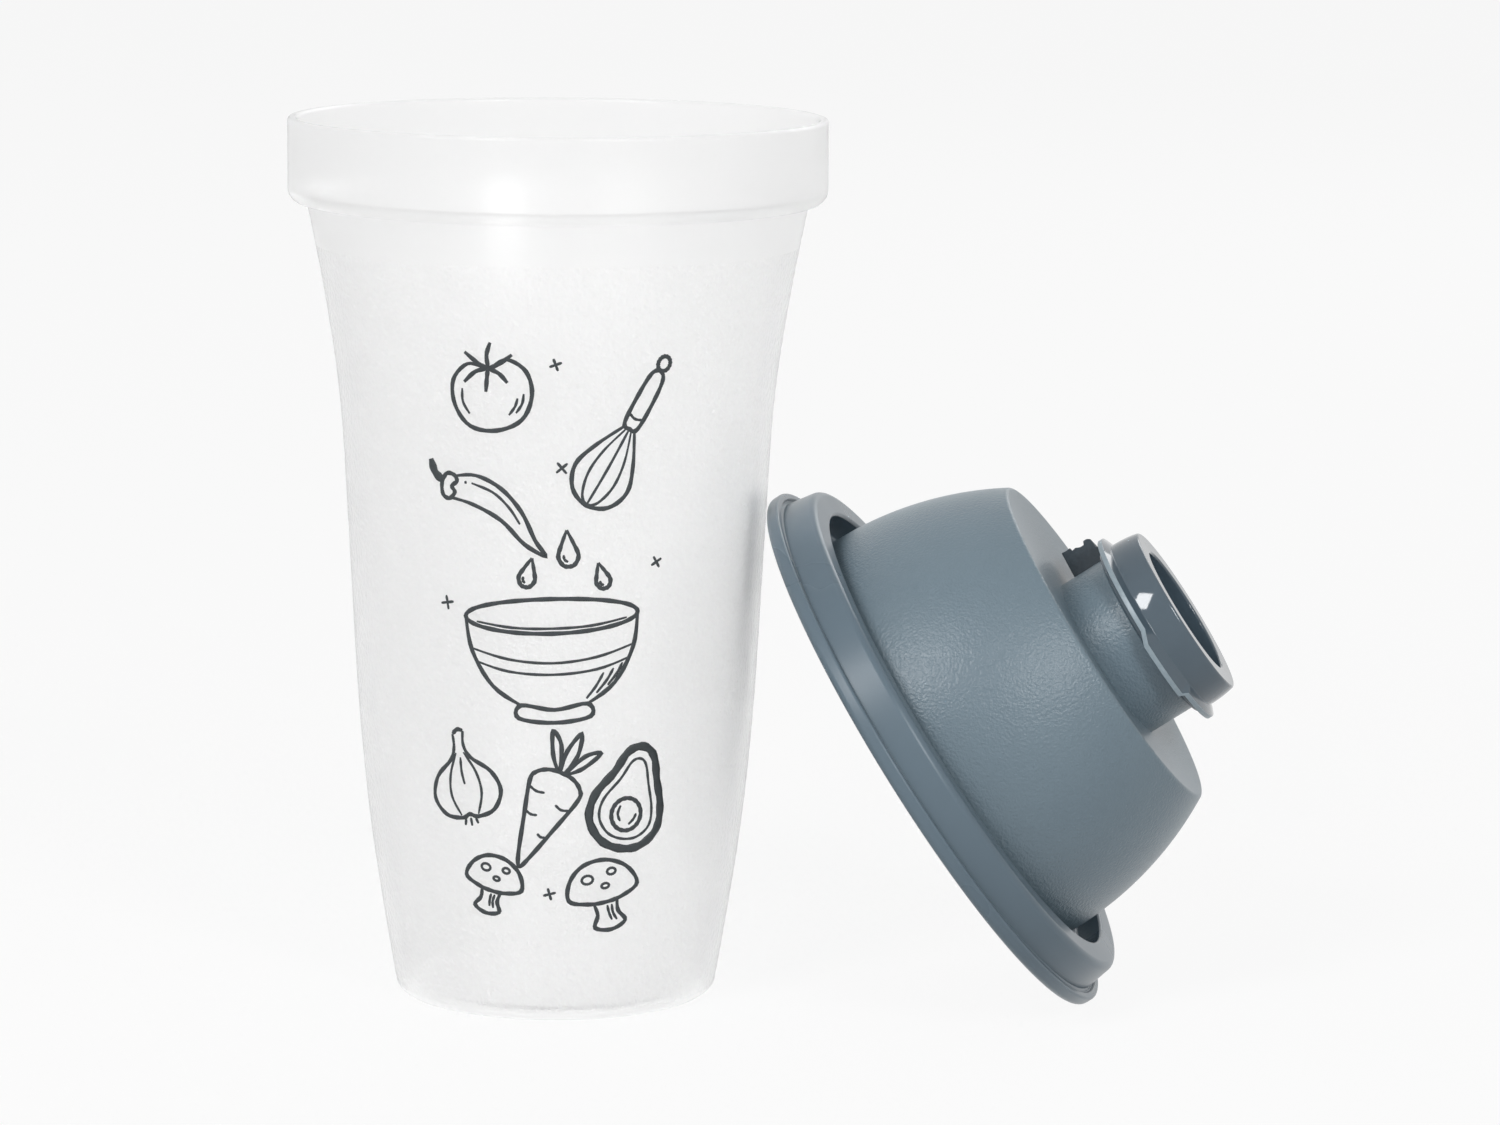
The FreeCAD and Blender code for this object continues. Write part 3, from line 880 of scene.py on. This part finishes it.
# The lug's faces are coloured darker as painted shade on the same grey plastic, with short scratches in bump
# and tone
scratch = node(tree, "ShaderNodeTexNoise", [("Vector", place), ("Scale", per_mm(0.9)), ("Detail", 4.0)])
tone = node(
    tree,
    "ShaderNodeMix",
    [("Factor", scratch.outputs["Fac"]), ("A", LUG_SHADE_DARK), ("B", LUG_SHADE_PALE)],
    data_type="RGBA",
)
tree.links.new(tone.outputs["Result"], shader.inputs["Base Color"])
bump = node(
    tree,
    "ShaderNodeBump",
    [("Strength", 0.8), ("Distance", 0.1 * MM), ("Height", scratch.outputs["Fac"])],
)
tree.links.new(bump.outputs["Normal"], shader.inputs["Normal"])
shader.inputs["Roughness"].default_value = 0.5
shader.inputs["IOR"].default_value = PP_IOR
shader.inputs["Specular IOR Level"].default_value = 0.25
print("made", lug_painted_shade_pp.name)

# %% [markdown]
# ## Finishing the lid
# Which finish a face gets follows from where it lies, as it did in the mould: the dome's outside and all of
# the neck are grained, what stands beside the neck at the lug's angle gets the darker painted shade, and the
# rest is satin.
# This is done upright, where the heights are easy to read, and then the lid is leaned on the cup.

# %% Give the lid its finishes and lean it on the cup
GUTTER_WALL = 41.5
GUTTER_FLOOR = 3.4
DISH_EDGE = DISH_HEIGHT - 0.1
LUG_FOOT = DISH_HEIGHT + 1.5
LUG_INNER = 14.7
LUG_REACH = 12
GREY_SMOOTH_ANGLE = 35
lid.data.materials.clear()
for finish in (satin_pp, spark_pp, lug_painted_shade_pp):
    lid.data.materials.append(finish)
neck_axis = Vector((NECK_OFFSET * MM, 0))
counts = [0, 0, 0]
for face in lid.data.polygons:
    radius = face.center.xy.length / MM
    height = face.center.z / MM
    from_neck = face.center.xy - neck_axis
    neck_angle = math.degrees(math.atan2(from_neck.y, from_neck.x))
    on_dome = radius < GUTTER_WALL and height > GUTTER_FLOOR and face.normal.dot(face.center) > 0
    on_neck = height > DISH_EDGE
    beside_neck = from_neck.length / MM > LUG_INNER and height > LUG_FOOT
    on_lug = beside_neck and abs(neck_angle - LUG_ANGLE) < LUG_REACH
    # The lug's faces get the darker material, which is painted shade
    face.material_index = 2 if on_lug else 1 if on_dome or on_neck else 0
    counts[face.material_index] += 1
print("satin, grained and cut faces on the lid:", counts)
settle_on_lean(lid)
shade(lid, GREY_SMOOTH_ANGLE)
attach(lid, "lid")
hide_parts("lid")

# %% [markdown]
# ## The pour collar
# A polished ring that snaps over the neck's end and turns on it. Its wall is a little crowned, its end is
# almost flat, and a thin flange runs round its foot. On one side the flange drops into a tab that meets
# the lug. The ring is spun with a level flange, and then the flange's vertices in the tab's sector go
# down, which keeps the ring one clean mesh.

# %% Spin the ring
COLLAR_WALL = 15.7
COLLAR_TOP = 50.1
FLANGE_FOOT = 43.6
FLANGE_ROOT = 45.2
CROWN_FOOT = (COLLAR_WALL, 45.4)
CROWN_TOP = (15.3, 49.4)
CROWN_BULGE = 0.1
# Corners as radius, height and rounding in mm: round the flange, and over the end into the mouth
flange_corners = [
    (14.05, COLLAR_FOOT, 0.1),
    (15.55, COLLAR_FOOT, 0.15),
    (15.6, FLANGE_FOOT, 0.15),
    (17.5, FLANGE_FOOT, 0.12),
    (17.5, 44.45, 0.12),
    (COLLAR_WALL, FLANGE_ROOT, 0.25),
    (*CROWN_FOOT, 0),
]
end_corners = [
    (*CROWN_TOP, 0),
    (15.12, COLLAR_TOP, 0.5),
    (11.2, COLLAR_TOP - 0.05, 0.4),
    (11.2, 43.3, 0.3),
    (12.35, 43.3, 0.1),
    (12.35, 48.3, 0),
    (14.05, 48.3, 0),
]
crown = bulged(CROWN_FOOT, CROWN_TOP, CROWN_BULGE)
collar_outline = rounded(flange_corners + plain(crown) + end_corners)
collar = spin_outline("pour_ring", collar_outline + collar_outline[:1])

# %% Lower the tab
TAB_DROP = 0.9
TAB_START = 260.0
TAB_RAMP = 8.0
TAB_END = 305.5
FLANGE_INNER = 15.9
tab_vertices = 0
for dot in collar.data.vertices:
    angle = math.degrees(math.atan2(dot.co.y, dot.co.x)) % 360
    on_flange = dot.co.xy.length / MM > FLANGE_INNER and dot.co.z / MM < FLANGE_ROOT
    if on_flange and TAB_START < angle < TAB_END:
        dot.co.z -= TAB_DROP * MM * min(1, (angle - TAB_START) / TAB_RAMP)
        tab_vertices += 1
print("flange vertices lowered for the tab:", tab_vertices)
collar.location.x = NECK_OFFSET * MM
bpy.ops.object.transform_apply(location=True)

# %% [markdown]
# ## The collar's gloss
# The ring's mould was polished, so it mirrors the lamps as small white patches. The flange's rim gets a
# paler, matt colour that is a painted reflection of the bright surroundings. A low roughness gives the
# first, and a second material on the outermost faces gives the other.

# %% Polished plastic for the ring
POLISHED_DARK = linear("#4A5964")
POLISHED_PALE = linear("#52616C")
polished_pp, tree, shader, place = new_material("polypropylene_polished_slate")
# A polished tool gives sharp reflections, a little uneven from the plastic's shrinkage
cloud = node(tree, "ShaderNodeTexNoise", [("Vector", place), ("Scale", per_mm(8)), ("Detail", 2.0)])
tone = node(
    tree,
    "ShaderNodeMix",
    [("Factor", cloud.outputs["Fac"]), ("A", POLISHED_DARK), ("B", POLISHED_PALE)],
    data_type="RGBA",
)
tree.links.new(tone.outputs["Result"], shader.inputs["Base Color"])
sink = node(tree, "ShaderNodeTexNoise", [("Vector", place), ("Scale", per_mm(4)), ("Detail", 1.0)])
bump = node(
    tree,
    "ShaderNodeBump",
    [("Strength", 0.25), ("Distance", 0.03 * MM), ("Height", sink.outputs["Fac"])],
)
tree.links.new(bump.outputs["Normal"], shader.inputs["Normal"])
shader.inputs["Roughness"].default_value = 0.07
shader.inputs["IOR"].default_value = 1.5
print("made", polished_pp.name)

# %% Paler flange rim: painted reflection
# Painted reflection: these greys are paler than the ring's plastic, standing in for light reflected off the
# rim
RIM_REFLECTION_DARK = linear("#7F8F98")
RIM_REFLECTION_PALE = linear("#9AA8B0")
rim_painted_reflection_pp, tree, shader, place = new_material("polypropylene_rim_painted_reflection")
# The flange's rim is a matt edge, painted paler than the polished wall as a reflection of the bright
# surroundings, with small nicks
nicks = node(tree, "ShaderNodeTexNoise", [("Vector", place), ("Scale", per_mm(0.7)), ("Detail", 3.0)])
tone = node(
    tree,
    "ShaderNodeMix",
    [("Factor", nicks.outputs["Fac"]), ("A", RIM_REFLECTION_DARK), ("B", RIM_REFLECTION_PALE)],
    data_type="RGBA",
)
tree.links.new(tone.outputs["Result"], shader.inputs["Base Color"])
bump = node(
    tree,
    "ShaderNodeBump",
    [("Strength", 0.5), ("Distance", 0.06 * MM), ("Height", nicks.outputs["Fac"])],
)
tree.links.new(bump.outputs["Normal"], shader.inputs["Normal"])
shader.inputs["Roughness"].default_value = 0.35
shader.inputs["IOR"].default_value = PP_IOR
print("made", rim_painted_reflection_pp.name)

# %% Give the collar its finishes and lean it with the lid
FLANGE_EDGE = 17.45
collar.data.materials.append(polished_pp)
# The second material is the flange rim's paler painted reflection
collar.data.materials.append(rim_painted_reflection_pp)
rim_reflection_faces = 0
for face in collar.data.polygons:
    if (face.center.xy - neck_axis).length / MM > FLANGE_EDGE:
        face.material_index = 1
        rim_reflection_faces += 1
print("faces on the flange's rim:", rim_reflection_faces)
settle_on_lean(collar)
shade(collar, GREY_SMOOTH_ANGLE)
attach(collar, "collar")
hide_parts("pour_collar")

# %% [markdown]
# ## A white studio
# A product shot on white: a floor without an edge, and a white room. Turning up the lamps until the paper
# burns out would wash out the cup as well. So floor and room glow white only where they are looked at,
# straight, in a mirror or through the cup, and the floor keeps a share of plain matt paper, on which the
# object throws a faint shadow.

# %% Floor
FLOOR_SIZE = 14
FLOOR_SHADOW_SHARE = 0.09


def looked_at(tree):
    """An output that is 1 for a ray that shows a surface to the camera and 0 for one that lights it."""
    ray = node(tree, "ShaderNodeLightPath")
    straight_or_mirrored = node(
        tree,
        "ShaderNodeMath",
        [(0, ray.outputs["Is Camera Ray"]), (1, ray.outputs["Is Glossy Ray"])],
        operation="MAXIMUM",
    )
    any_way = node(
        tree,
        "ShaderNodeMath",
        [(0, straight_or_mirrored.outputs[0]), (1, ray.outputs["Is Transmission Ray"])],
        operation="MAXIMUM",
    )
    return any_way.outputs[0]


bpy.ops.object.select_all(action="DESELECT")
bpy.ops.mesh.primitive_plane_add(size=FLOOR_SIZE)
floor = bpy.context.object
floor.name = "studio_floor"
paper = bpy.data.materials.new("white_studio_paper")
paper.use_nodes = True
tree = paper.node_tree
tree.nodes.clear()
share = node(
    tree,
    "ShaderNodeMath",
    [(0, looked_at(tree)), (1, 1 - FLOOR_SHADOW_SHARE)],
    operation="MULTIPLY",
)
matt = node(tree, "ShaderNodeBsdfDiffuse", [("Color", linear("#E8E8E8"))])
glow = node(tree, "ShaderNodeEmission", [("Color", linear("#FFFFFF")), ("Strength", 1.0)])
both = node(
    tree,
    "ShaderNodeMixShader",
    [(0, share.outputs[0]), (1, matt.outputs[0]), (2, glow.outputs[0])],
)
node(tree, "ShaderNodeOutputMaterial", [("Surface", both.outputs[0])])
floor.data.materials.append(paper)
print("floor of", FLOOR_SIZE, "m with", paper.name)

# %% Light from all round
FILL = 0.18
world = bpy.data.worlds.new("white_studio")
bpy.context.scene.world = world
world.use_nodes = True
tree = world.node_tree
tree.nodes.clear()
strength = node(tree, "ShaderNodeMapRange", [("Value", looked_at(tree)), ("To Min", FILL), ("To Max", 1.0)])
sky = node(
    tree,
    "ShaderNodeBackground",
    [("Color", linear("#FFFFFF")), ("Strength", strength.outputs["Result"])],
)
node(tree, "ShaderNodeOutputWorld", [("Surface", sky.outputs[0])])
print("fill light:", FILL)

# %% [markdown]
# ## Softboxes
# Two softboxes at the front shape the cup and leave the white patches on the collar, as in a small photo
# tent. A weaker one behind keeps the back of the lid from going black. A sun lamp would cast hard
# shadows, so area lamps are used, all aimed at the middle of the object.

# %% Set up the softboxes
LIT_POINT = Vector((0.04, 0, 0.07))
# Each softbox: azimuth from the camera's side, elevation, distance in m, width, height and watts
SOFTBOXES = {
    "softbox_left": (-33, 35, 1.5, 0.4, 0.46, 10.6),
    "softbox_right": (28, 28, 1.6, 0.4, 0.5, 9.4),
    "softbox_back": (150, 30, 1.8, 0.8, 0.8, 5.0),
}
for name, (azimuth, elevation, distance, width, tall, watts) in SOFTBOXES.items():
    turn = math.radians(azimuth)
    rise = math.radians(elevation)
    out = Vector((math.sin(turn) * math.cos(rise), -math.cos(turn) * math.cos(rise), math.sin(rise)))
    lamp = bpy.data.lights.new(name, "AREA")
    lamp.shape = "RECTANGLE"
    lamp.size = width
    lamp.size_y = tall
    lamp.energy = watts
    lamp_object = bpy.data.objects.new(name, lamp)
    bpy.context.collection.objects.link(lamp_object)
    lamp_object.location = LIT_POINT + out * distance
    lamp_object.rotation_euler = (-out).to_track_quat("-Z", "Y").to_euler()
print("softboxes:", list(SOFTBOXES))

# %% [markdown]
# ## The camera
# A long lens from almost a metre away, a little above the cup's lip and looking slightly down. Place,
# lens and angles were fitted to the ellipses of the cup's rim and foot, so the render has the
# photograph's perspective.

# %% Set up the camera
LENS = 132.34
SENSOR = 36
LOOK_DOWN = 8.96
ROLL = 0.5
CAMERA_PLACE = (0.0325, -0.9177, 0.2179)
camera_data = bpy.data.cameras.new("photo_camera")
camera_data.lens = LENS
camera_data.sensor_width = SENSOR
camera_data.sensor_fit = "HORIZONTAL"
camera = bpy.data.objects.new("photo_camera", camera_data)
bpy.context.collection.objects.link(camera)
pitch = Matrix.Rotation(math.radians(90 - LOOK_DOWN), 4, "X")
roll = Matrix.Rotation(math.radians(ROLL), 4, "Z")
camera.matrix_world = Matrix.Translation(CAMERA_PLACE) @ pitch @ roll
bpy.context.scene.camera = camera
bpy.context.scene.view_settings.view_transform = "Standard"
print("camera with a lens of", LENS, "mm at", CAMERA_PLACE)
